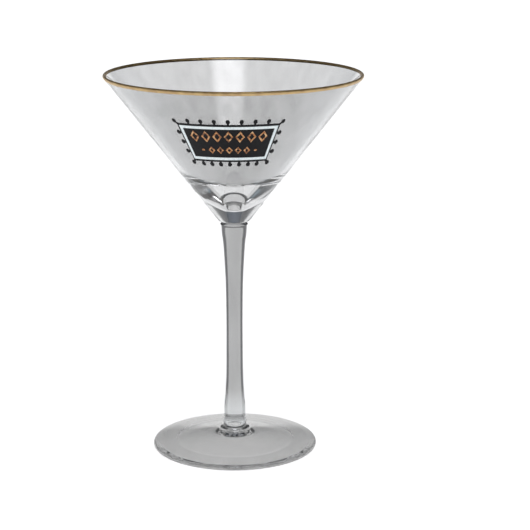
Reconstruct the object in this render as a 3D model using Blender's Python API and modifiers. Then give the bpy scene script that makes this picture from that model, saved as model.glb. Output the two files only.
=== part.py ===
"""A martini glass: a cone-shaped bowl, a slim stem and a round foot, three pieces of clear glass
welded end to end, with a gilded lip and a fired enamel badge on the bowl's front.

The glass stands on Z = 0 with its axis on Z, and the badge faces -Y. Lengths are in metres.
"""

import math

import bmesh
import bpy
from mathutils import Vector

MM = 0.001

# Overall sizes
HEIGHT = 180.8 * MM
RIM_RADIUS = 60.6 * MM
FOOT_RADIUS = 39.5 * MM

# Bowl
WALL_ANGLE = math.radians(37.65)      # between the outer wall and the axis
WALL = 1.3 * MM                       # thickness at the lip, square to the wall
WALL_AT_WELL = 2.0 * MM               # thickness where the solid base begins
WELL_TOP = 134.0 * MM                 # height where the solid base begins
WELL_TOP_ROUND = 30.0 * MM            # radius where the inside bends in above the solid base
WELL_BOTTOM = 119.2 * MM              # lowest point of the inside
WELL_FLOOR_RADIUS = 3.0 * MM          # the nearly flat floor of the inside
WELL_CROWN = 0.3 * MM                 # rise of that floor at its edge
WELL_ROUND = 3.0 * MM                 # radius between the floor and the sloping side
BOWL_BASE = 110.5 * MM                # height of the weld between the bowl and the stem
BOWL_HEEL_ROUND = 3.2 * MM            # radius where the wall turns in to the weld
WELD_RADIUS = 5.3 * MM

# Gilding on the lip
GILDING = 0.12 * MM
GILDING_GAP = 0.05 * MM
GILDING_OUTSIDE = 0.8 * MM            # how far it reaches down the outer wall, below the lip's curve
GILDING_INSIDE = 0.7 * MM

# Stem, as (radius, height) from the collar under the bowl to the ring above the foot
WELD_GAP = 0.1 * MM
COLLAR = (6.6 * MM, 109.5 * MM)
STEM_STATIONS = [
    (6.10 * MM, 108.0 * MM),
    (5.85 * MM, 104.5 * MM),
    (5.25 * MM, 100.0 * MM),
    (4.65 * MM, 91.0 * MM),
    (4.15 * MM, 80.0 * MM),
    (3.95 * MM, 65.0 * MM),
    (3.95 * MM, 50.0 * MM),
    (4.05 * MM, 36.0 * MM),
    (4.50 * MM, 26.5 * MM),
    (5.10 * MM, 19.0 * MM),
    (5.10 * MM, 13.6 * MM),
]
RING = (5.60 * MM, 11.5 * MM)
STEM_FOOT = (4.90 * MM, 9.4 * MM)

# Foot, as (radius, height)
BOSS_TOP = (5.7 * MM, 9.3 * MM)
BOSS_SIDE = (7.5 * MM, 8.3 * MM)
FOOT_TOP_STATIONS = [
    (8.6 * MM, 7.55 * MM),
    (16.0 * MM, 6.1 * MM),
    (27.0 * MM, 4.3 * MM),
    (37.0 * MM, 2.75 * MM),
]
FOOT_EDGE_ROUND = 1.25 * MM
REST_OUTER = 37.6 * MM                # the ring that the glass stands on
REST_INNER = 35.6 * MM
RECESS_STATIONS = [                   # the hollow underside, which follows the top
    (28.0 * MM, 0.9 * MM),
    (26.0 * MM, 1.4 * MM),
    (18.0 * MM, 2.8 * MM),
    (9.0 * MM, 4.1 * MM),
    (0.0 * MM, 4.6 * MM),
]

# Badge, by distance from the cone's apex along the wall and by angle around the bowl
BADGE_TOP = 79.7 * MM
BADGE_BOTTOM = 55.4 * MM
BADGE_HALF_TURN = math.radians(28.3)
BORDER = (0.8 * MM, 1.3 * MM)         # black border outside the white line, at the sides and at the ends
LINE_WIDTH = (1.4 * MM, 1.65 * MM)    # at the sides, and along the top and bottom
BEADS_ALONG = 8                       # spaces between beads along the top and along the bottom
BEADS_UP = 4                          # spaces between beads up each side
BEAD_RADIUS = 0.95 * MM
STALK_LENGTH = 1.2 * MM               # from the badge's edge to a bead's centre
STALK_WIDTH = 1.0 * MM
BEAD_STRETCH = 1.45                   # beads and stalks are drawn taller up the wall by this much
ENAMEL = 0.10 * MM                    # thickness of a coat of enamel
ENAMEL_GAP = 0.05 * MM                # clearance between one coat and the next

# Ornaments on the badge: lozenges in two rows, and a dot at each end of the lower row
UPPER_ROW = {"height_up_wall": 71.9 * MM, "count": 7, "pitch": math.radians(6.7),
             "half_width": 2.1 * MM, "half_height": 3.6 * MM, "stroke": 0.75 * MM}
LOWER_ROW = {"height_up_wall": 63.2 * MM, "count": 5, "pitch": math.radians(5.8),
             "half_width": 1.55 * MM, "half_height": 2.3 * MM, "stroke": 0.65 * MM}
DOT_RADIUS = 0.65 * MM

BOWL_SEGMENTS = 72
STEM_SEGMENTS = 48
FACET = 2 * math.pi / BOWL_SEGMENTS

ALONG = Vector((math.sin(WALL_ANGLE), math.cos(WALL_ANGLE)))       # up the wall, as (radius, height)
OUTWARD = Vector((math.cos(WALL_ANGLE), -math.sin(WALL_ANGLE)))    # square out of the wall


# Profiles, as lists of (radius, height)

def arc(centre, radius, start, end, steps):
    """Points on an arc, with angles in radians from the direction of growing radius."""
    points = []
    for step in range(steps + 1):
        angle = start + (end - start) * step / steps
        points.append(Vector(centre) + radius * Vector((math.cos(angle), math.sin(angle))))
    return points


def smooth_through(stations, steps):
    """Points on a smooth curve that passes through every station."""
    points = [Vector(station) for station in stations]
    knots = [2 * points[0] - points[1]] + points + [2 * points[-1] - points[-2]]
    curve = []
    for index in range(len(points) - 1):
        before, start, end, after = knots[index:index + 4]
        for step in range(steps):
            t = step / steps
            curve.append(0.5 * (2 * start + (end - before) * t
                                + (2 * before - 5 * start + 4 * end - after) * t ** 2
                                + (3 * start - before - 3 * end + after) * t ** 3))
    curve.append(points[-1])
    return curve


GILT_SKIN = GILDING + GILDING_GAP
LIP_ROUND = WALL / 2
LIP_CENTRE = Vector((RIM_RADIUS - GILT_SKIN - LIP_ROUND, HEIGHT - GILT_SKIN - LIP_ROUND))
LIP_OUTSIDE = LIP_CENTRE + OUTWARD * LIP_ROUND
APEX_HEIGHT = LIP_OUTSIDE.y - LIP_OUTSIDE.x / math.tan(WALL_ANGLE)
LIP_DISTANCE = LIP_OUTSIDE.x / math.sin(WALL_ANGLE)                # from the apex, along the wall


def on_wall(distance, lift=0.0):
    """A point of the outer wall, by its distance from the apex, lifted square off the wall."""
    return Vector((0.0, APEX_HEIGHT)) + ALONG * distance + OUTWARD * lift


def wall_radius(height):
    """Radius of the wall's outer face at a height."""
    return (height - APEX_HEIGHT) * math.tan(WALL_ANGLE)


def fillet(before, corner, after, radius, steps):
    """A round of a given radius in place of a corner of a profile."""
    to_before = (before - corner).normalized()
    to_after = (after - corner).normalized()
    half = to_before.angle(to_after) / 2
    reach = radius / math.tan(half)
    centre = corner + (to_before + to_after).normalized() * radius / math.sin(half)
    start = corner + to_before * reach - centre
    end = corner + to_after * reach - centre
    start_angle = math.atan2(start.y, start.x)
    turn = math.atan2(end.y, end.x) - start_angle
    turn = (turn + math.pi) % (2 * math.pi) - math.pi
    return arc(centre, radius, start_angle, start_angle + turn, steps)


def well_profile():
    """The inside of the solid base, from the axis out to the wall."""
    middle = Vector((0.0, WELL_BOTTOM))
    edge = Vector((WELL_FLOOR_RADIUS, WELL_BOTTOM + WELL_CROWN))
    corner = Vector((wall_radius(WELL_TOP) - WALL_AT_WELL / math.cos(WALL_ANGLE), WELL_TOP))
    lip = lip_profile(LIP_ROUND, 1)[0]
    floor_edge = fillet(middle, edge, corner, WELL_ROUND, 4)
    return [middle] + floor_edge + fillet(edge, corner, lip, WELL_TOP_ROUND, 4)


def lip_profile(radius, steps):
    """Round the lip from the inner wall, over the top, to the outer wall."""
    return arc(LIP_CENTRE, radius, math.pi - WALL_ANGLE, -WALL_ANGLE, steps)


def heel_profile():
    """From the outer wall round to the weld's flat face, ending on the axis."""
    centre_height = BOWL_BASE + BOWL_HEEL_ROUND
    centre = Vector((wall_radius(centre_height) - BOWL_HEEL_ROUND / math.cos(WALL_ANGLE), centre_height))
    points = arc(centre, BOWL_HEEL_ROUND, -WALL_ANGLE, -math.pi / 2, 5)
    points[-1].x = WELD_RADIUS
    return points + [Vector((0.0, BOWL_BASE))]


def bowl_profile():
    return well_profile() + lip_profile(LIP_ROUND, 8) + heel_profile()


def gilding_profile():
    """A thin skin over the lip, as a closed loop that runs down its outer side."""
    inner_skin = LIP_ROUND + GILDING_GAP
    outer_skin = LIP_ROUND + GILT_SKIN
    outside = -ALONG * GILDING_OUTSIDE
    inside = -ALONG * GILDING_INSIDE
    over = lip_profile(outer_skin, 6)
    under = list(reversed(lip_profile(inner_skin, 6)))
    return [over[0] + inside] + over + [over[-1] + outside, under[0] + outside] + under + [under[-1] + inside]


def stem_profile():
    top = BOWL_BASE - WELD_GAP
    collar_radius, collar_height = COLLAR
    collar = [Vector((0.0, top)), Vector((WELD_RADIUS, top)), Vector((collar_radius - 0.3 * MM, top - 0.3 * MM)),
              Vector(COLLAR), Vector((collar_radius - 0.3 * MM, collar_height - 0.6 * MM))]
    shaft = smooth_through(STEM_STATIONS, 2)
    ring_radius, ring_height = RING
    ring = [Vector((ring_radius - 0.15 * MM, ring_height + 1.1 * MM)), Vector(RING),
            Vector((ring_radius - 0.15 * MM, ring_height - 1.1 * MM))]
    return collar + shaft + ring + [Vector(STEM_FOOT), Vector((0.0, STEM_FOOT[1]))]


def foot_profile():
    top = smooth_through(FOOT_TOP_STATIONS, 3)
    slope = top[-1] - top[-2]
    edge_centre = Vector((FOOT_RADIUS - FOOT_EDGE_ROUND, FOOT_EDGE_ROUND))
    edge_start = math.atan2(slope.x, -slope.y)
    edge = arc(edge_centre, FOOT_EDGE_ROUND, edge_start, -math.pi / 2, 7)
    recess = smooth_through(RECESS_STATIONS, 2)
    boss = [Vector((0.0, BOSS_TOP[1])), Vector(BOSS_TOP), Vector((6.9 * MM, 8.95 * MM)), Vector(BOSS_SIDE)]
    return boss + top + edge + [Vector((REST_OUTER, 0.0)), Vector((REST_INNER, 0.0))] + recess


# Badge outlines, in the flat sheet that the cone's wall unrolls to, with the apex at the origin

def on_sheet(distance, turn):
    """A point of the sheet, by its distance from the apex and its angle around the bowl."""
    angle = turn * math.sin(WALL_ANGLE)
    return Vector((distance * math.sin(angle), distance * math.cos(angle)))


def arc_on_sheet(distance, start_turn, end_turn, steps):
    points = []
    for step in range(steps + 1):
        points.append(on_sheet(distance, start_turn + (end_turn - start_turn) * step / steps))
    return points


def sector(bottom, top, half_turn, steps):
    """The outline of a panel bounded by two rings of the cone and two straight lines up it."""
    upper = arc_on_sheet(top, -half_turn, half_turn, steps)
    lower = arc_on_sheet(bottom, half_turn, -half_turn, steps)
    return upper + lower


def stalked_bead(foot, outward, sink):
    """A bead on a stalk that stands on the outline at foot, walked clockwise round the badge."""
    forward = Vector((outward.y, -outward.x))
    half = STALK_WIDTH / 2
    opening = math.asin(half / BEAD_RADIUS)
    heading = math.atan2(outward.y, outward.x)
    start = heading + math.pi - opening
    end = heading - math.pi + opening
    bead = arc(outward * STALK_LENGTH, BEAD_RADIUS, start, end, 9)
    offsets = [-forward * half - outward * sink] + bead + [forward * half - outward * sink]
    up = foot.normalized()
    return [foot + offset + up * (BEAD_STRETCH - 1) * offset.dot(up) for offset in offsets]


def edge_with_beads(start, end, spaces, outward_at):
    """One edge of the badge with beads between its corners; start and end are (distance, turn)."""
    points = []
    for index in range(1, spaces):
        share = index / spaces
        distance = start[0] + (end[0] - start[0]) * share
        turn = start[1] + (end[1] - start[1]) * share
        points += stalked_bead(on_sheet(distance, turn), outward_at(turn), 0.0)
    return points


def badge_outline():
    """The black ground's outline: a panel with beads on stalks all the way round."""
    def up(turn):
        return on_sheet(1.0, turn)

    def right(turn):
        return Vector((up(turn).y, -up(turn).x))

    corners = [(BADGE_TOP, -BADGE_HALF_TURN), (BADGE_TOP, BADGE_HALF_TURN),
               (BADGE_BOTTOM, BADGE_HALF_TURN), (BADGE_BOTTOM, -BADGE_HALF_TURN)]
    sides = [(BEADS_ALONG, up), (BEADS_UP, right),
             (BEADS_ALONG, lambda turn: -up(turn)), (BEADS_UP, lambda turn: -right(turn))]
    points = []
    for index, corner in enumerate(corners):
        spaces, outward_at = sides[index]
        previous_outward = sides[index - 1][1]
        diagonal = (outward_at(corner[1]) + previous_outward(corner[1])).normalized()
        points += stalked_bead(on_sheet(*corner), diagonal, STALK_WIDTH / 2)
        points += edge_with_beads(corner, corners[(index + 1) % 4], spaces, outward_at)
    return points


def line_outlines():
    """The white line's outer and inner outlines."""
    outlines = []
    for side, end in (BORDER, (BORDER[0] + LINE_WIDTH[0], BORDER[1] + LINE_WIDTH[1])):
        half_turn = BADGE_HALF_TURN - side / (BADGE_TOP * math.sin(WALL_ANGLE))
        outlines.append(sector(BADGE_BOTTOM + end, BADGE_TOP - end, half_turn, 16))
    return outlines


def lozenge_outlines(row, turn):
    """An upright lozenge ring at one place of a row."""
    centre = on_sheet(row["height_up_wall"], turn)
    up = on_sheet(1.0, turn)
    right = Vector((up.y, -up.x))
    wide, tall = row["half_width"], row["half_height"]
    shrink = 1 - row["stroke"] * math.hypot(wide, tall) / (wide * tall)
    outer = [centre + up * tall, centre + right * wide, centre - up * tall, centre - right * wide]
    inner = [centre + (point - centre) * shrink for point in outer]
    return [outer, inner]


def dot_outlines(row, turn):
    centre = on_sheet(row["height_up_wall"], turn)
    return [arc(centre, DOT_RADIUS, 2 * math.pi, 0.0, 10)[:-1]]


# Objects

def new_material(name, colour, roughness, metallic=0.0, transmission=0.0):
    material = bpy.data.materials.new(name)
    material.use_nodes = True
    shader = material.node_tree.nodes["Principled BSDF"]
    shader.inputs["Base Color"].default_value = (*colour, 1.0)
    shader.inputs["Roughness"].default_value = roughness
    shader.inputs["Metallic"].default_value = metallic
    shader.inputs["Transmission Weight"].default_value = transmission
    return material


def finish_object(obj, collection, material):
    for owner in obj.users_collection:
        owner.objects.unlink(obj)
    collection.objects.link(obj)
    obj.data.materials.clear()
    obj.data.materials.append(material)


def turned(name, profile, segments, closed, collection, material):
    """A body turned about Z from a profile of (radius, height) points."""
    count = len(profile)
    edges = [(index, index + 1) for index in range(count - 1)]
    if closed:
        edges.append((count - 1, 0))
    mesh = bpy.data.meshes.new(name)
    mesh.from_pydata([(point.x, 0.0, point.y) for point in profile], edges, [])
    obj = bpy.data.objects.new(name, mesh)
    finish_object(obj, collection, material)
    screw = obj.modifiers.new("Turn", "SCREW")
    screw.steps = segments
    screw.render_steps = segments
    screw.use_merge_vertices = True
    screw.merge_threshold = 0.001 * MM
    screw.use_smooth_shade = True
    return obj


def sheet_mesh(name, outlines):
    """A flat sheet of enamel cut to its outlines, as a mesh."""
    curve = bpy.data.curves.new(name, "CURVE")
    curve.dimensions = "2D"
    curve.fill_mode = "BOTH"
    curve.extrude = ENAMEL / 2
    for outline in outlines:
        spline = curve.splines.new("POLY")
        spline.points.add(len(outline) - 1)
        for place, point in zip(spline.points, outline):
            place.co = (point.x, point.y, 0.0, 1.0)
        spline.use_cyclic_u = True
    flat = bpy.data.objects.new(name, curve)
    bpy.context.scene.collection.objects.link(flat)
    depsgraph = bpy.context.evaluated_depsgraph_get()
    mesh = bpy.data.meshes.new_from_object(flat.evaluated_get(depsgraph))
    bpy.data.objects.remove(flat)
    return mesh


def cut_at_facets(bm, half_turn):
    """Cut the sheet along the straight lines where the bowl's facets meet, so that it can bend there."""
    reach = math.ceil(half_turn / FACET)
    for index in range(-reach, reach + 1):
        across = on_sheet(1.0, index * FACET + math.pi / 2 / math.sin(WALL_ANGLE))
        geometry = bm.verts[:] + bm.edges[:] + bm.faces[:]
        bmesh.ops.bisect_plane(bm, geom=geometry, dist=0.0001 * MM, plane_co=(0, 0, 0),
                               plane_no=(across.x, across.y, 0.0))


def roll_onto_bowl(bm, lift):
    """Roll the sheet round the bowl's facets, with its middle at a distance off the wall."""
    for vert in bm.verts:
        distance = math.hypot(vert.co.x, vert.co.y)
        facets, share = divmod(math.atan2(vert.co.x, vert.co.y) / math.sin(WALL_ANGLE) / FACET, 1.0)
        place = on_wall(distance, lift + vert.co.z)
        left = Vector((math.sin(facets * FACET), -math.cos(facets * FACET)))
        right = Vector((math.sin((facets + 1) * FACET), -math.cos((facets + 1) * FACET)))
        across = place.x * left.lerp(right, share)
        vert.co = (across.x, across.y, place.y)


def enamel(name, outlines, lift, collection, material):
    """A coat of enamel on the bowl, cut to its outlines; lift is from the glass to its underside."""
    mesh = sheet_mesh(name, outlines)
    bm = bmesh.new()
    bm.from_mesh(mesh)
    bmesh.ops.remove_doubles(bm, verts=bm.verts, dist=0.001 * MM)
    bmesh.ops.dissolve_limit(bm, angle_limit=math.radians(0.5), verts=bm.verts, edges=bm.edges)
    cut_at_facets(bm, BADGE_HALF_TURN + FACET)
    roll_onto_bowl(bm, lift + ENAMEL / 2)
    if bm.calc_volume(signed=True) < 0:
        bmesh.ops.reverse_faces(bm, faces=bm.faces)
    bm.to_mesh(mesh)
    bm.free()
    obj = bpy.data.objects.new(name, mesh)
    finish_object(obj, collection, material)
    return obj


def build_ornaments(collection, material, lift):
    for row_name, row in (("upper", UPPER_ROW), ("lower", LOWER_ROW)):
        middle = (row["count"] - 1) / 2
        for index in range(row["count"]):
            turn = (index - middle) * row["pitch"]
            name = f"ornament_{row_name}_{index + 1}"
            enamel(name, lozenge_outlines(row, turn), lift, collection, material)
    dot_turn = (LOWER_ROW["count"] + 1) / 2 * LOWER_ROW["pitch"]
    enamel("ornament_dot_left", dot_outlines(LOWER_ROW, -dot_turn), lift, collection, material)
    enamel("ornament_dot_right", dot_outlines(LOWER_ROW, dot_turn), lift, collection, material)


def main():
    for obj in list(bpy.data.objects):
        bpy.data.objects.remove(obj)
    collection = bpy.data.collections.new("martini_glass")
    bpy.context.scene.collection.children.link(collection)

    glass = [new_material(f"clear_glass_{piece}", (0.93, 0.95, 0.95), 0.02, transmission=1.0)
             for piece in ("bowl", "stem", "foot")]
    gilt = new_material("gilding", (0.62, 0.46, 0.22), 0.22, metallic=1.0)
    black = new_material("black_enamel", (0.012, 0.012, 0.014), 0.35)
    white = new_material("white_enamel", (0.78, 0.84, 0.84), 0.4)
    copper = new_material("copper_enamel", (0.55, 0.24, 0.08), 0.35, metallic=0.6)

    turned("bowl", bowl_profile(), BOWL_SEGMENTS, False, collection, glass[0])
    turned("stem", stem_profile(), STEM_SEGMENTS, False, collection, glass[1])
    turned("foot", foot_profile(), BOWL_SEGMENTS, False, collection, glass[2])
    turned("rim_gilding", gilding_profile(), BOWL_SEGMENTS, True, collection, gilt)

    enamel("badge_ground", [badge_outline()], ENAMEL_GAP, collection, black)
    second_coat = ENAMEL_GAP + ENAMEL + ENAMEL_GAP
    enamel("badge_line", line_outlines(), second_coat, collection, white)
    build_ornaments(collection, copper, second_coat)


main()
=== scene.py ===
"""The martini glass as it looks: clear glass, a gilded lip and an enamel badge, on a pale studio floor."""
import math

import bmesh
import bpy
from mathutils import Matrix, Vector


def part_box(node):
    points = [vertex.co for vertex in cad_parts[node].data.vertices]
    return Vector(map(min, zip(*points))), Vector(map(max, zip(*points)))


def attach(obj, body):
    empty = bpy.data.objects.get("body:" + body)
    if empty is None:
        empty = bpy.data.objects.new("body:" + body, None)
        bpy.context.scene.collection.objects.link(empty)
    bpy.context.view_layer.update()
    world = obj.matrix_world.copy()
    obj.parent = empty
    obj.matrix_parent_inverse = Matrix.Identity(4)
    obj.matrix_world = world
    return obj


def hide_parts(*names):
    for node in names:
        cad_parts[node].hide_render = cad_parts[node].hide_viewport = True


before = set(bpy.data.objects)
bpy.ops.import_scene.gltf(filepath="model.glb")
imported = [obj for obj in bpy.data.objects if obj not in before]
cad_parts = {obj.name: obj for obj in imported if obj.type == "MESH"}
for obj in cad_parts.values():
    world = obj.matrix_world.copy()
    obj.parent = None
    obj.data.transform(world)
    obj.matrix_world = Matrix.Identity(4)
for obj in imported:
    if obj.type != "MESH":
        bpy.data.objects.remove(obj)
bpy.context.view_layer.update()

MM = 0.001

# Sizes read from the frame
GILT_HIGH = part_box("rim_gilding")[1]
BOWL_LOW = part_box("bowl")[0]
FOOT_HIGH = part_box("foot")[1]
TOP = GILT_HIGH[2]
RIM_RADIUS = GILT_HIGH[0]
BOWL_BASE = BOWL_LOW[2]
FOOT_RADIUS = FOOT_HIGH[0]
FOOT_TOP = FOOT_HIGH[2]

# Bowl
WALL_ANGLE = math.radians(37.65)
WALL = 1.3 * MM
WALL_AT_WELL = 2.0 * MM
WELL_TOP = 134.0 * MM
WELL_TOP_ROUND = 30.0 * MM
WELL_BOTTOM = 119.2 * MM
WELL_CROWN = 0.3 * MM
WELL_FLOOR_RADIUS = 3.0 * MM
WELL_ROUND = 3.0 * MM
HEEL_ROUND = 3.2 * MM                   # where the wall turns in to the weld
WELD_RADIUS = 5.3 * MM

# Coats on the glass
GILDING = 0.05 * MM
GILDING_LIFT = 0.04 * MM
GILDING_OUTSIDE = 0.8 * MM
GILDING_INSIDE = 0.7 * MM
ENAMEL = 0.06 * MM
ENAMEL_LIFT = 0.03 * MM

# Stem, as (radius, height)
COLLAR = (6.6 * MM, 109.5 * MM)
COLLAR_SHOULDER = (0.5 * MM, 0.25 * MM)     # out and down from the edge of the weld
COLLAR_UNDERSIDE = (0.3 * MM, 0.6 * MM)     # in and down from where the collar is widest
STEM_STATIONS = [
    (6.10 * MM, 108.0 * MM),
    (5.85 * MM, 104.5 * MM),
    (5.25 * MM, 100.0 * MM),
    (4.65 * MM, 91.0 * MM),
    (4.15 * MM, 80.0 * MM),
    (3.95 * MM, 65.0 * MM),
    (3.95 * MM, 50.0 * MM),
    (4.05 * MM, 36.0 * MM),
    (4.50 * MM, 26.5 * MM),
    (5.10 * MM, 19.0 * MM),
    (5.10 * MM, 13.6 * MM),
]
RING = (5.60 * MM, 11.5 * MM)
RING_SHOULDER = (0.15 * MM, 1.1 * MM)       # in, and up or down, from where the ring is widest
STEM_FOOT_RADIUS = 4.90 * MM

# Foot, as (radius, height)
BOSS_STATIONS = [(5.7 * MM, 9.3 * MM), (6.9 * MM, 8.95 * MM), (7.5 * MM, 8.3 * MM)]
FOOT_TOP_STATIONS = [
    (8.6 * MM, 7.55 * MM),
    (16.0 * MM, 6.1 * MM),
    (27.0 * MM, 4.3 * MM),
    (37.0 * MM, 2.75 * MM),
]
FOOT_EDGE_ROUND = 1.25 * MM
REST_OUTER = 37.6 * MM                  # the ring that the glass stands on
REST_INNER = 35.6 * MM
RECESS_CREASE = (28.0 * MM, 0.9 * MM)   # the hollow underside, which follows the top
RECESS_STATIONS = [
    (26.0 * MM, 1.4 * MM),
    (18.0 * MM, 2.8 * MM),
    (9.0 * MM, 4.1 * MM),
    (0.0 * MM, 4.6 * MM),
]

# Badge, by distance from the cone's apex along the wall and by angle around the bowl
BADGE_TOP = 79.7 * MM
BADGE_BOTTOM = 55.4 * MM
BADGE_HALF_TURN = math.radians(28.3)
BORDER = (0.8 * MM, 1.3 * MM)           # black border outside the white line, at the sides and at the ends
LINE_WIDTH = (1.4 * MM, 1.65 * MM)      # at the sides, and along the top and bottom
BEADS_ALONG = 8                         # spaces between beads along the top and along the bottom
BEADS_UP = 4                            # spaces between beads up each side
BEAD_RADIUS = 0.95 * MM
STALK_LENGTH = 1.2 * MM                 # from the badge's edge to a bead's centre
STALK_WIDTH = 1.0 * MM
BEAD_STRETCH = 1.45                     # beads and stalks are drawn taller up the wall by this much

# Ornaments on the badge: lozenges in two rows, and a dot at each end of the lower row
UPPER_ROW = {"height_up_wall": 71.9 * MM, "count": 7, "pitch": math.radians(6.7),
             "half_width": 2.1 * MM, "half_height": 3.6 * MM, "stroke": 0.75 * MM}
LOWER_ROW = {"height_up_wall": 63.2 * MM, "count": 5, "pitch": math.radians(5.8),
             "half_width": 1.55 * MM, "half_height": 2.3 * MM, "stroke": 0.65 * MM}
DOT_RADIUS = 0.65 * MM

# Glass looks. A tint is the colour where the surface faces the eye and where it turns away, with how far
# it has turned at each. The change between them is painted: painted shade on the stem's and foot's edges,
# painted light on the bowl's sides. Streak is the depth of the streaks and wave the height of the waves.
# The bowl's tint lightens where it turns away: painted light on its sides.
BOWL_LOOK = {"tint_and_painted_edge_tone": ((0.2, (0.65, 0.65, 0.65)), (0.7, (0.80, 0.81, 0.82))),
             "streak": 0.1, "wave": 0.006 * MM}
# The stem's tint turns nearly black where it turns away: painted shade for its dark edge lines.
STEM_LOOK = {"tint_and_painted_edge_tone": ((0.25, (0.44, 0.44, 0.44)), (0.4, (0.015, 0.015, 0.017))),
             # Painted light: the stem's tint fades towards nearly clear over its lower bulge, between the
             # last two heights here.
             "streak": 0.25, "wave": 0.02 * MM, "painted_light_between": (30.0 * MM, 17.0 * MM)}
# The foot's tint darkens where it turns away: painted shade at its edge.
FOOT_LOOK = {"tint_and_painted_edge_tone": ((0.62, (0.53, 0.53, 0.53)), (0.9, (0.34, 0.34, 0.34))),
             "streak": 0.05, "wave": 0.004 * MM}
GLASS_IOR = 1.5
STREAKS = {"scale": 160.0, "detail": 2.0, "stretch": 9.0}
STREAK_FROM, STREAK_TO = 0.3, 0.7       # part of the noise over which the streaks fade
WAVES = {"scale": 140.0, "detail": 1.0, "stretch": 2.5}
# Painted light: the near clear tone that the stem's tint fades towards low down, and how far it fades.
PAINTED_LIGHT_TINT = (0.9, 0.93, 0.95)
PAINTED_LIGHT_BY = 0.35                       # how far the stem's tint fades to nearly clear at its foot

# Coat looks. The stops are the tones from the low to the high side of the grain.
GRAIN_DETAIL = 4.0
GILDING_LOOK = {"grain": 260.0, "stops": ((0.35, (0.42, 0.28, 0.13)), (0.62, (0.58, 0.41, 0.19))),
                "roughness": (0.3, 0.5), "metallic": 0.65}
BLACK_LOOK = {"grain": 900.0, "stops": ((0.35, (0.004, 0.004, 0.005)), (0.7, (0.011, 0.011, 0.013))),
              "roughness": (0.4, 0.65), "specular": 0.12}
WHITE_LOOK = {"grain": 1100.0, "stops": ((0.3, (0.62, 0.72, 0.76)), (0.55, (0.84, 0.9, 0.91))),
              "roughness": (0.4, 0.6), "specular": 0.12}
COPPER_LOOK = {"grain": 700.0, "roughness": (0.3, 0.55), "metallic": 0.3,
               "stops": ((0.38, (0.12, 0.05, 0.025)), (0.5, (0.46, 0.18, 0.05)), (0.66, (0.68, 0.46, 0.24)))}

# Camera
LENS = 122.0
CLIP_START, CLIP_END = 0.01, 50.0
CAMERA_DISTANCE = 0.829                 # level, from the glass's axis
CAMERA_HEIGHT = 0.2927
CAMERA_ROUND = math.radians(3.0)        # round the glass from -Y towards +X
CAMERA_DIP = math.radians(13.789)       # below level
CAMERA_SWING = math.radians(1.009)      # to the right of the axis

# Studio light; a soft box is (direction, colour, half width, blur), widths in degrees
HORIZON = (0.97, 0.97, 0.97)
ROOM = (0.05, 0.053, 0.056)
ZENITH = (0.16, 0.19, 0.24)
NEAR_SIDE = (0.015, 0.013, 0.012)
NEAR_TOWARDS = (0.6, -0.8, 0.0)
NEAR_FROM, NEAR_FULL = 0.22, 0.36       # by the share of a direction that lies along the near side's
HORIZON_TO, ROOM_FROM, ROOM_TO = 0.13, 0.22, 0.9    # by the upward share of a direction
SOFTBOXES = [
    ((0.09, -0.47, 0.88), (4.0, 4.0, 4.1), 9.0, 7.0),
    ((-0.33, -0.47, 0.73), (0.12, 0.18, 0.22), 6.0, 8.0),
    ((0.6, -0.46, 0.6), (0.14, 0.22, 0.27), 6.0, 8.0),
]

FLOOR_RADIUS = 6.0
FLOOR_SIDES = 128
FLOOR_DROP = 0.2 * MM                   # clearance under the foot
FLOOR_TONE = (0.86, 0.86, 0.86, 1.0)
FLOOR_ROUGHNESS = 0.9
FLOOR_GLOW = 0.92
LIGHT_BOUNCES = 32                      # light runs far round inside thick glass
CLEAR_BOUNCES = 16

# Fineness of the meshes
SEGMENTS = 256                          # round the glass
ROUND_STEPS = 16
LIP_STEPS = 24
STATION_STEPS = 8
STEM_STEPS = 6
RING_STEPS = 5
BEAD_STEPS = 20
LINE_STEPS = 32
DOT_STEPS = 24
LONG_STRETCH = 1.5 * MM                 # a longer stretch is divided
SUPPORT = 0.08 * MM                     # from its ends to the nearest divisions
SNAP = 0.001 * MM                       # closer points count as one
SHARP_ANGLE = math.radians(35)
FLAT_ANGLE = math.radians(0.5)
BADGE_MARGIN = math.radians(4)          # how far the beads may reach past the badge's half turn

# The bowl's cone, as (radius, height): directions up its wall and square out of it, its lip and its apex
ALONG = Vector((math.sin(WALL_ANGLE), math.cos(WALL_ANGLE)))
OUTWARD = Vector((math.cos(WALL_ANGLE), -math.sin(WALL_ANGLE)))
GILT_SKIN = 0.17 * MM                   # how far the CAD's gilding stands out from the lip
LIP_ROUND = WALL / 2
LIP_CENTRE = Vector((RIM_RADIUS - GILT_SKIN - LIP_ROUND, TOP - GILT_SKIN - LIP_ROUND))
LIP_OUTSIDE = LIP_CENTRE + OUTWARD * LIP_ROUND
APEX_HEIGHT = LIP_OUTSIDE.y - LIP_OUTSIDE.x / math.tan(WALL_ANGLE)


# Camera

def add_camera():
    data = bpy.data.cameras.new("camera")
    data.lens = LENS
    data.clip_start = CLIP_START
    data.clip_end = CLIP_END
    camera = bpy.data.objects.new("camera", data)
    across, along = math.sin(CAMERA_ROUND), -math.cos(CAMERA_ROUND)
    camera.location = (CAMERA_DISTANCE * across, CAMERA_DISTANCE * along, CAMERA_HEIGHT)
    camera.rotation_euler = (math.pi / 2 - CAMERA_DIP, 0.0, CAMERA_ROUND - CAMERA_SWING)
    bpy.context.scene.collection.objects.link(camera)
    bpy.context.scene.camera = camera


# Profiles, as lists of (radius, height)

def arc(centre, radius, start, end, steps):
    points = []
    for step in range(steps + 1):
        angle = start + (end - start) * step / steps
        points.append(Vector(centre) + radius * Vector((math.cos(angle), math.sin(angle))))
    return points


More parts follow.
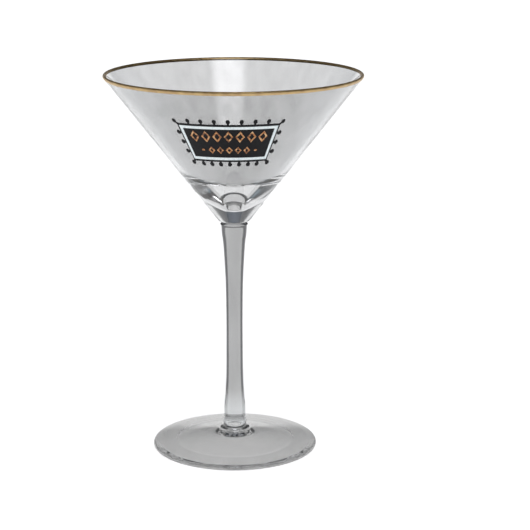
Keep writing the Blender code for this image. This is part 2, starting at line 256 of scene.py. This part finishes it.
def smooth_through(stations, steps):
    """Points on a smooth curve that passes through every station."""
    points = [Vector(station) for station in stations]
    knots = [2 * points[0] - points[1]] + points + [2 * points[-1] - points[-2]]
    curve = []
    for index in range(len(points) - 1):
        before, start, end, after = knots[index:index + 4]
        for step in range(steps):
            t = step / steps
            curve.append(0.5 * (2 * start + (end - before) * t
                                + (2 * before - 5 * start + 4 * end - after) * t ** 2
                                + (3 * start - before - 3 * end + after) * t ** 3))
    curve.append(points[-1])
    return curve


def on_wall(distance, lift):
    """A point of the bowl's outer wall by its distance from the cone's apex, lifted square off the wall."""
    return Vector((0.0, APEX_HEIGHT)) + ALONG * distance + OUTWARD * lift


def wall_radius(height):
    """Radius of the bowl's outer wall at a height."""
    return (height - APEX_HEIGHT) * math.tan(WALL_ANGLE)


def fillet(before, corner, after, radius, steps):
    """A round of a given radius in place of a corner of a profile."""
    to_before = (before - corner).normalized()
    to_after = (after - corner).normalized()
    half = to_before.angle(to_after) / 2
    reach = radius / math.tan(half)
    centre = corner + (to_before + to_after).normalized() * radius / math.sin(half)
    start = corner + to_before * reach - centre
    end = corner + to_after * reach - centre
    start_angle = math.atan2(start.y, start.x)
    turn = math.atan2(end.y, end.x) - start_angle
    turn = (turn + math.pi) % (2 * math.pi) - math.pi
    return arc(centre, radius, start_angle, start_angle + turn, steps)


def well_profile():
    """The inside of the thick base, from the axis out to the thin wall."""
    middle = Vector((0.0, WELL_BOTTOM))
    edge = Vector((WELL_FLOOR_RADIUS, WELL_BOTTOM + WELL_CROWN))
    corner = Vector((wall_radius(WELL_TOP) - WALL_AT_WELL / math.cos(WALL_ANGLE), WELL_TOP))
    lip = lip_profile(LIP_ROUND, 1)[0]
    return ([middle] + fillet(middle, edge, corner, WELL_ROUND, ROUND_STEPS)
            + fillet(edge, corner, lip, WELL_TOP_ROUND, ROUND_STEPS))


def lip_profile(radius, steps):
    """Round the lip from the inner wall, over the top, to the outer wall."""
    return arc(LIP_CENTRE, radius, math.pi - WALL_ANGLE, -WALL_ANGLE, steps)


def heel_profile():
    """From the outer wall round to the edge of the weld."""
    centre_height = BOWL_BASE + HEEL_ROUND
    centre = Vector((wall_radius(centre_height) - HEEL_ROUND / math.cos(WALL_ANGLE), centre_height))
    points = arc(centre, HEEL_ROUND, -WALL_ANGLE, -math.pi / 2, ROUND_STEPS)
    points[-1].x = WELD_RADIUS
    return points


def bowl_profile():
    return well_profile() + lip_profile(LIP_ROUND, LIP_STEPS) + heel_profile() + [Vector((0.0, BOWL_BASE))]


def stem_profile():
    collar_stations = [
        (WELD_RADIUS, BOWL_BASE),
        (WELD_RADIUS + COLLAR_SHOULDER[0], BOWL_BASE - COLLAR_SHOULDER[1]),
        COLLAR,
        (COLLAR[0] - COLLAR_UNDERSIDE[0], COLLAR[1] - COLLAR_UNDERSIDE[1]),
    ]
    ring_stations = [
        STEM_STATIONS[-1],
        (RING[0] - RING_SHOULDER[0], RING[1] + RING_SHOULDER[1]),
        RING,
        (RING[0] - RING_SHOULDER[0], RING[1] - RING_SHOULDER[1]),
        (STEM_FOOT_RADIUS, FOOT_TOP),
    ]
    collar = smooth_through(collar_stations + STEM_STATIONS, STEM_STEPS)
    ring = smooth_through(ring_stations, RING_STEPS)
    return [Vector((0.0, BOWL_BASE))] + collar + ring[1:] + [Vector((0.0, FOOT_TOP))]


def foot_profile():
    top = smooth_through(BOSS_STATIONS + FOOT_TOP_STATIONS, STATION_STEPS)
    slope = top[-1] - top[-2]
    edge_centre = Vector((FOOT_RADIUS - FOOT_EDGE_ROUND, FOOT_EDGE_ROUND))
    edge = arc(edge_centre, FOOT_EDGE_ROUND, math.atan2(slope.x, -slope.y), -math.pi / 2, LIP_STEPS)
    recess = smooth_through([RECESS_CREASE] + RECESS_STATIONS, STATION_STEPS)
    return ([Vector((0.0, FOOT_TOP)), Vector((STEM_FOOT_RADIUS, FOOT_TOP))] + top + edge
            + [Vector((REST_OUTER, 0.0)), Vector((REST_INNER, 0.0))] + recess)


def gilding_profile():
    """A thin skin over the lip, as a closed loop."""
    under_skin = LIP_ROUND + GILDING_LIFT
    over_skin = under_skin + GILDING
    outside = -ALONG * GILDING_OUTSIDE
    inside = -ALONG * GILDING_INSIDE
    over = lip_profile(over_skin, LIP_STEPS)
    under = list(reversed(lip_profile(under_skin, LIP_STEPS)))
    return ([over[0] + inside] + over + [over[-1] + outside]
            + [under[0] + outside] + under + [under[-1] + inside])


def with_supports(profile):
    """Adds points close to the ends of every long straight stretch, so that its shading stays straight."""
    points = [profile[0]]
    for start, end in zip(profile, profile[1:]):
        span = (end - start).length
        if span > LONG_STRETCH:
            pieces = math.ceil(span / LONG_STRETCH)
            shares = [SUPPORT / span] + [index / pieces for index in range(1, pieces)] + [1 - SUPPORT / span]
            points += [start.lerp(end, share) for share in shares]
        points.append(end)
    return points


def lies_in_weld(face, height, radius):
    """Whether every corner of a face is on the flat disc of a weld."""
    points = [vert.co for vert in face.verts]
    return all(abs(point.z - height) < SNAP and point.xy.length < radius + SNAP for point in points)


def turned(name, profile, closed=False, welds=()):
    """A body turned about Z. Flat faces of a weld, given as (height, radius), take the second material."""
    profile = with_supports(profile)
    bm = bmesh.new()
    rings = []
    for point in profile:
        if point.x < SNAP:
            rings.append([bm.verts.new((0.0, 0.0, point.y))] * SEGMENTS)
            continue
        ring = []
        for index in range(SEGMENTS):
            angle = 2 * math.pi * index / SEGMENTS
            ring.append(bm.verts.new((point.x * math.cos(angle), point.x * math.sin(angle), point.y)))
        rings.append(ring)
    pairs = list(zip(rings, rings[1:]))
    if closed:
        pairs.append((rings[-1], rings[0]))
    for upper, lower in pairs:
        for index in range(SEGMENTS):
            after = (index + 1) % SEGMENTS
            corners = []
            for vert in (upper[index], upper[after], lower[after], lower[index]):
                if vert not in corners:
                    corners.append(vert)
            face = bm.faces.new(corners)
            face.smooth = True
    for face in bm.faces:
        for height, radius in welds:
            if lies_in_weld(face, height, radius):
                face.material_index = 1
    if bm.calc_volume(signed=True) < 0:
        bmesh.ops.reverse_faces(bm, faces=bm.faces)
    mesh = bpy.data.meshes.new(name)
    bm.to_mesh(mesh)
    bm.free()
    mesh.set_sharp_from_angle(angle=SHARP_ANGLE)
    piece = bpy.data.objects.new(name, mesh)
    bpy.context.scene.collection.objects.link(piece)
    return piece


# Badge outlines in the sheet that the wall unrolls to

def on_sheet(distance, turn):
    """A point of the sheet by its distance from the apex and its angle round the bowl."""
    angle = turn * math.sin(WALL_ANGLE)
    return Vector((distance * math.sin(angle), distance * math.cos(angle)))


def arc_on_sheet(distance, start_turn, end_turn, steps):
    turns = [start_turn + (end_turn - start_turn) * step / steps for step in range(steps + 1)]
    return [on_sheet(distance, turn) for turn in turns]


def sector(bottom, top, half_turn, steps):
    """A panel bounded by two rings of the cone and two straight lines up it."""
    upper = arc_on_sheet(top, -half_turn, half_turn, steps)
    lower = arc_on_sheet(bottom, half_turn, -half_turn, steps)
    return upper + lower


def stalked_bead(foot, outward, sink):
    """A bead on a stalk, drawn taller up the wall than it is wide."""
    forward = Vector((outward.y, -outward.x))
    half = STALK_WIDTH / 2
    opening = math.asin(half / BEAD_RADIUS)
    heading = math.atan2(outward.y, outward.x)
    centre = outward * STALK_LENGTH
    bead = arc(centre, BEAD_RADIUS, heading + math.pi - opening, heading - math.pi + opening, BEAD_STEPS)
    offsets = [-forward * half - outward * sink] + bead + [forward * half - outward * sink]
    up = foot.normalized()
    return [foot + offset + up * (BEAD_STRETCH - 1) * offset.dot(up) for offset in offsets]


def edge_with_beads(start, end, spaces, outward_at):
    """The beads between two corners of the badge; start and end are (distance, turn)."""
    points = []
    for index in range(1, spaces):
        share = index / spaces
        distance = start[0] + (end[0] - start[0]) * share
        turn = start[1] + (end[1] - start[1]) * share
        points += stalked_bead(on_sheet(distance, turn), outward_at(turn), 0.0)
    return points


def badge_outline():
    """The black ground: a panel with beads on stalks all the way round."""
    def up(turn):
        return on_sheet(1.0, turn)

    def right(turn):
        return Vector((up(turn).y, -up(turn).x))

    corners = [(BADGE_TOP, -BADGE_HALF_TURN), (BADGE_TOP, BADGE_HALF_TURN),
               (BADGE_BOTTOM, BADGE_HALF_TURN), (BADGE_BOTTOM, -BADGE_HALF_TURN)]
    sides = [(BEADS_ALONG, up), (BEADS_UP, right),
             (BEADS_ALONG, lambda turn: -up(turn)), (BEADS_UP, lambda turn: -right(turn))]
    points = []
    for index, corner in enumerate(corners):
        spaces, outward_at = sides[index]
        diagonal = (outward_at(corner[1]) + sides[index - 1][1](corner[1])).normalized()
        points += stalked_bead(on_sheet(*corner), diagonal, STALK_WIDTH / 2)
        points += edge_with_beads(corner, corners[(index + 1) % 4], spaces, outward_at)
    return points


def line_outlines():
    """The white line's outer and inner outlines."""
    outlines = []
    for side, end in (BORDER, (BORDER[0] + LINE_WIDTH[0], BORDER[1] + LINE_WIDTH[1])):
        half_turn = BADGE_HALF_TURN - side / (BADGE_TOP * math.sin(WALL_ANGLE))
        outlines.append(sector(BADGE_BOTTOM + end, BADGE_TOP - end, half_turn, LINE_STEPS))
    return outlines


def lozenge_outlines(row, turn):
    """An upright lozenge ring at one place of a row."""
    centre = on_sheet(row["height_up_wall"], turn)
    up = on_sheet(1.0, turn)
    right = Vector((up.y, -up.x))
    wide, tall = row["half_width"], row["half_height"]
    shrink = 1 - row["stroke"] * math.hypot(wide, tall) / (wide * tall)
    outer = [centre + up * tall, centre + right * wide, centre - up * tall, centre - right * wide]
    return [outer, [centre + (point - centre) * shrink for point in outer]]


def enamel(name, outlines, lift):
    """A coat of enamel rolled onto the bowl; lift is from the glass to its underside."""
    curve = bpy.data.curves.new(name, "CURVE")
    curve.dimensions = "2D"
    curve.fill_mode = "BOTH"
    curve.extrude = ENAMEL / 2
    for outline in outlines:
        spline = curve.splines.new("POLY")
        spline.points.add(len(outline) - 1)
        for place, point in zip(spline.points, outline):
            place.co = (point.x, point.y, 0.0, 1.0)
        spline.use_cyclic_u = True
    flat = bpy.data.objects.new(name + "_flat", curve)
    bpy.context.scene.collection.objects.link(flat)
    mesh = bpy.data.meshes.new_from_object(flat.evaluated_get(bpy.context.evaluated_depsgraph_get()))
    bpy.data.objects.remove(flat)
    mesh.name = name
    bm = bmesh.new()
    bm.from_mesh(mesh)
    bmesh.ops.remove_doubles(bm, verts=bm.verts, dist=SNAP)
    bmesh.ops.dissolve_limit(bm, angle_limit=FLAT_ANGLE, verts=bm.verts, edges=bm.edges)
    step = 2 * math.pi / SEGMENTS
    reach = math.ceil((BADGE_HALF_TURN + BADGE_MARGIN) / step)
    for index in range(-reach, reach + 1):
        across = on_sheet(1.0, index * step + math.pi / 2 / math.sin(WALL_ANGLE))
        bmesh.ops.bisect_plane(bm, geom=bm.verts[:] + bm.edges[:] + bm.faces[:], dist=SNAP / 10,
                               plane_co=(0, 0, 0), plane_no=(across.x, across.y, 0.0))
    for vert in bm.verts:
        distance = math.hypot(vert.co.x, vert.co.y)
        turn = math.atan2(vert.co.x, vert.co.y) / math.sin(WALL_ANGLE)
        place = on_wall(distance, lift + ENAMEL / 2 + vert.co.z)
        vert.co = (place.x * math.sin(turn), -place.x * math.cos(turn), place.y)
    if bm.calc_volume(signed=True) < 0:
        bmesh.ops.reverse_faces(bm, faces=bm.faces)
    for face in bm.faces:
        face.smooth = True
    bm.to_mesh(mesh)
    bm.free()
    mesh.set_sharp_from_angle(angle=SHARP_ANGLE)
    piece = bpy.data.objects.new(name, mesh)
    bpy.context.scene.collection.objects.link(piece)
    return piece


# Materials

# A Mix node also has sockets for numbers and vectors; these are the ones that mix colours
COLOUR_MIX_INPUTS = (0, 6, 7)
COLOUR_MIX_OUTPUT = 2


def new_material(name):
    material = bpy.data.materials.new(name)
    material.use_nodes = True
    return material, material.node_tree, material.node_tree.nodes["Principled BSDF"]


def add_node(tree, kind, **inputs):
    """Adds a node and sets its inputs by name, with underscores for spaces."""
    node = tree.nodes.new(kind)
    for name, value in inputs.items():
        node.inputs[name.replace("_", " ")].default_value = value
    return node


def noise(tree, scale, detail, stretch=1.0):
    """A noise over the object's own coordinates in metres, drawn out along Z by a stretch."""
    coords = tree.nodes.new("ShaderNodeTexCoord")
    mapping = tree.nodes.new("ShaderNodeMapping")
    mapping.inputs["Scale"].default_value = (1.0, 1.0, 1 / stretch)
    texture = add_node(tree, "ShaderNodeTexNoise", Scale=scale, Detail=detail)
    tree.links.new(coords.outputs["Object"], mapping.inputs["Vector"])
    tree.links.new(mapping.outputs["Vector"], texture.inputs["Vector"])
    return texture.outputs["Fac"]


def ramp_of(tree, value, *stops):
    """A colour ramp over a value; a stop is (position, colour)."""
    ramp = tree.nodes.new("ShaderNodeValToRGB")
    elements = ramp.color_ramp.elements
    for element, (position, colour) in zip(elements, stops):
        element.position = position
        element.color = (*colour, 1.0)
    for position, colour in stops[2:]:
        elements.new(position).color = (*colour, 1.0)
    tree.links.new(value, ramp.inputs["Fac"])
    return ramp


def mixed(tree, share, first, second, blend="MIX"):
    """Mixes two colours; each of share, first and second is an output to link or a value to set."""
    mix = tree.nodes.new("ShaderNodeMix")
    mix.data_type = "RGBA"
    mix.blend_type = blend
    for index, value in zip(COLOUR_MIX_INPUTS, (share, first, second)):
        if isinstance(value, bpy.types.NodeSocket):
            tree.links.new(value, mix.inputs[index])
        else:
            mix.inputs[index].default_value = value
    return mix.outputs[COLOUR_MIX_OUTPUT]


def smooth_range(tree, value, start, end, to_end=1.0):
    """Rises smoothly from 0 where a value is at start to to_end where it is at end."""
    window = add_node(tree, "ShaderNodeMapRange", From_Min=start, From_Max=end, To_Max=to_end)
    window.interpolation_type = "SMOOTHSTEP"
    tree.links.new(value, window.inputs["Value"])
    return window.outputs["Result"]


def painted_light_below(tree, tone, start, end):
    """Paints light: fades a tone towards nearly clear from the start height down to the end height, standing
    in for bright surroundings seen through the stem's lower bulge.
    """
    coords = tree.nodes.new("ShaderNodeTexCoord")
    split = tree.nodes.new("ShaderNodeSeparateXYZ")
    tree.links.new(coords.outputs["Object"], split.inputs[0])
    fade = smooth_range(tree, split.outputs["Z"], start, end, PAINTED_LIGHT_BY)
    return mixed(tree, fade, tone, (*PAINTED_LIGHT_TINT, 1.0))


def wavy(tree, shader, height, distance):
    """Bends a surface's reflections by a height from 0 to 1 that stands for a distance in metres."""
    bump = add_node(tree, "ShaderNodeBump", Strength=1.0, Distance=distance)
    tree.links.new(height, bump.inputs["Height"])
    tree.links.new(bump.outputs["Normal"], shader.inputs["Normal"])


def glass_material(name, tint_and_painted_edge_tone, streak, wave, painted_light_between=None):
    """Glass whose tint changes where it turns away (painted shade on the stem's and foot's edges, painted
    light on the bowl's sides), with faint streaks and waves drawn up the piece.
    """
    material, tree, shader = new_material(name)
    shader.inputs["Transmission Weight"].default_value = 1.0
    shader.inputs["IOR"].default_value = GLASS_IOR
    shader.inputs["Roughness"].default_value = 0.0
    # Painted shade and painted light: the tint follows how far the surface turns from the eye.
    facing = add_node(tree, "ShaderNodeLayerWeight", Blend=0.5)
    ramp = ramp_of(tree, facing.outputs["Facing"], *tint_and_painted_edge_tone)
    ramp.color_ramp.interpolation = "EASE"
    streaks = ramp_of(tree, noise(tree, **STREAKS),
                      (STREAK_FROM, (1.0 - streak,) * 3), (STREAK_TO, (1.0,) * 3))
    tone = mixed(tree, 1.0, ramp.outputs["Color"], streaks.outputs["Color"], "MULTIPLY")
    # Painted light: fades the tone towards nearly clear low on the stem.
    if painted_light_between:
        tone = painted_light_below(tree, tone, *painted_light_between)
    tree.links.new(tone, shader.inputs["Base Color"])
    wavy(tree, shader, noise(tree, **WAVES), wave)
    return material


def weld_material():
    """Where two pieces of glass are fused: light goes straight on."""
    material, tree, shader = new_material("weld")
    tree.nodes.remove(shader)
    clear = tree.nodes.new("ShaderNodeBsdfTransparent")
    tree.links.new(clear.outputs[0], tree.nodes["Material Output"].inputs["Surface"])
    return material


def coat_material(name, grain, stops, roughness, metallic=0.0, specular=0.5):
    """A thin coat whose tone and gloss vary with a grain; roughness is (from, to)."""
    material, tree, shader = new_material(name)
    shader.inputs["Metallic"].default_value = metallic
    shader.inputs["Specular IOR Level"].default_value = specular
    value = noise(tree, grain, GRAIN_DETAIL)
    tree.links.new(ramp_of(tree, value, *stops).outputs["Color"], shader.inputs["Base Color"])
    gloss = add_node(tree, "ShaderNodeMapRange", To_Min=roughness[0], To_Max=roughness[1])
    tree.links.new(value, gloss.inputs["Value"])
    tree.links.new(gloss.outputs["Result"], shader.inputs["Roughness"])
    return material


# The object

def place(piece, slot, *nodes):
    """Puts a piece in the glass's one body, in place of the CAD's nodes."""
    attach(piece, "root")
    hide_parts(*nodes)


def build_glass():
    """The three pieces of glass, which meet face to face at their welds."""
    weld = weld_material()
    upper_weld = (BOWL_BASE, WELD_RADIUS)
    lower_weld = (FOOT_TOP, STEM_FOOT_RADIUS)
    pieces = [
        ("bowl", bowl_profile(), (upper_weld,), BOWL_LOOK),
        ("stem", stem_profile(), (upper_weld, lower_weld), STEM_LOOK),
        ("foot", foot_profile(), (lower_weld,), FOOT_LOOK),
    ]
    for name, profile, welds, look in pieces:
        piece = turned(name + "_glass", profile, welds=welds)
        piece.data.materials.append(glass_material(name + "_glass", **look))
        piece.data.materials.append(weld)
        place(piece, name + "_glass", name)


def build_coats():
    """The gilded lip and the badge."""
    gilding = turned("lip_gilding", gilding_profile(), closed=True)
    gilding.data.materials.append(coat_material("gilding", **GILDING_LOOK))
    place(gilding, "gilding", "rim_gilding")
    black = coat_material("black_enamel", **BLACK_LOOK)
    white = coat_material("white_enamel", **WHITE_LOOK)
    copper = coat_material("copper_enamel", **COPPER_LOOK)
    ground = enamel("badge_black", [badge_outline()], ENAMEL_LIFT)
    ground.data.materials.append(black)
    place(ground, "black_enamel", "badge_ground")
    second = 2 * ENAMEL_LIFT + ENAMEL
    line = enamel("badge_white_line", line_outlines(), second)
    line.data.materials.append(white)
    place(line, "white_enamel", "badge_line")
    for row_name, row in (("upper", UPPER_ROW), ("lower", LOWER_ROW)):
        middle = (row["count"] - 1) / 2
        for index in range(row["count"]):
            outlines = lozenge_outlines(row, (index - middle) * row["pitch"])
            piece = enamel(f"lozenge_{row_name}_{index + 1}", outlines, second)
            piece.data.materials.append(copper)
            place(piece, "copper_enamel", f"ornament_{row_name}_{index + 1}")
    dot_turn = (LOWER_ROW["count"] + 1) / 2 * LOWER_ROW["pitch"]
    for side, turn in (("left", -dot_turn), ("right", dot_turn)):
        centre = on_sheet(LOWER_ROW["height_up_wall"], turn)
        piece = enamel(f"dot_{side}", [arc(centre, DOT_RADIUS, 2 * math.pi, 0.0, DOT_STEPS)[:-1]], second)
        piece.data.materials.append(copper)
        place(piece, "copper_enamel", f"ornament_dot_{side}")


# Studio

def build_floor():
    """A pale table, lit a little from below."""
    bpy.ops.mesh.primitive_circle_add(vertices=FLOOR_SIDES, radius=FLOOR_RADIUS, fill_type="NGON",
                                      location=(0.0, 0.0, -FLOOR_DROP))
    floor = bpy.context.object
    floor.name = "floor"
    material, _, shader = new_material("floor")
    shader.inputs["Base Color"].default_value = FLOOR_TONE
    shader.inputs["Roughness"].default_value = FLOOR_ROUGHNESS
    shader.inputs["Emission Color"].default_value = (1.0, 1.0, 1.0, 1.0)
    shader.inputs["Emission Strength"].default_value = FLOOR_GLOW
    floor.data.materials.append(material)


def share_along(tree, direction, towards):
    """How far a direction lies along a fixed one of length 1: the cosine between them."""
    facing = tree.nodes.new("ShaderNodeVectorMath")
    facing.operation = "DOT_PRODUCT"
    tree.links.new(direction, facing.inputs[0])
    facing.inputs[1].default_value = towards
    return facing.outputs["Value"]


def with_softbox(tree, light, direction, towards, colour, half_width, blur):
    """Adds a round soft light seen along a direction; its widths are in degrees."""
    along = share_along(tree, direction, Vector(towards).normalized())
    edge = math.cos(math.radians(half_width + blur))
    inside = math.cos(math.radians(half_width))
    window = smooth_range(tree, along, edge, inside)
    scaled = tree.nodes.new("ShaderNodeVectorMath")
    scaled.operation = "SCALE"
    scaled.inputs[0].default_value = colour
    tree.links.new(window, scaled.inputs["Scale"])
    total = tree.nodes.new("ShaderNodeVectorMath")
    tree.links.new(light, total.inputs[0])
    tree.links.new(scaled.outputs["Vector"], total.inputs[1])
    return total.outputs["Vector"]


def build_world():
    """A pale horizon under a dark room that is darkest on its near side, with soft boxes above."""
    world = bpy.data.worlds.new("studio")
    bpy.context.scene.world = world
    world.use_nodes = True
    tree = world.node_tree
    coords = tree.nodes.new("ShaderNodeTexCoord")
    direction = coords.outputs["Generated"]
    split = tree.nodes.new("ShaderNodeSeparateXYZ")
    tree.links.new(direction, split.inputs[0])
    room = ramp_of(tree, split.outputs["Z"], (0.0, HORIZON), (1.0, ZENITH),
                   (HORIZON_TO, HORIZON), (ROOM_FROM, ROOM), (ROOM_TO, ROOM))
    near = smooth_range(tree, share_along(tree, direction, NEAR_TOWARDS), NEAR_FROM, NEAR_FULL)
    light = mixed(tree, near, room.outputs["Color"], (*NEAR_SIDE, 1.0))
    for softbox in SOFTBOXES:
        light = with_softbox(tree, light, direction, *softbox)
    tree.links.new(light, tree.nodes["Background"].inputs["Color"])
    tree.nodes["Background"].inputs["Strength"].default_value = 1.0


def set_bounces():
    cycles = bpy.context.scene.cycles
    cycles.max_bounces = LIGHT_BOUNCES
    cycles.transmission_bounces = LIGHT_BOUNCES
    cycles.glossy_bounces = LIGHT_BOUNCES
    cycles.transparent_max_bounces = CLEAR_BOUNCES


add_camera()
build_glass()
build_coats()
build_floor()
build_world()
bpy.context.scene.view_settings.view_transform = "Standard"
set_bounces()
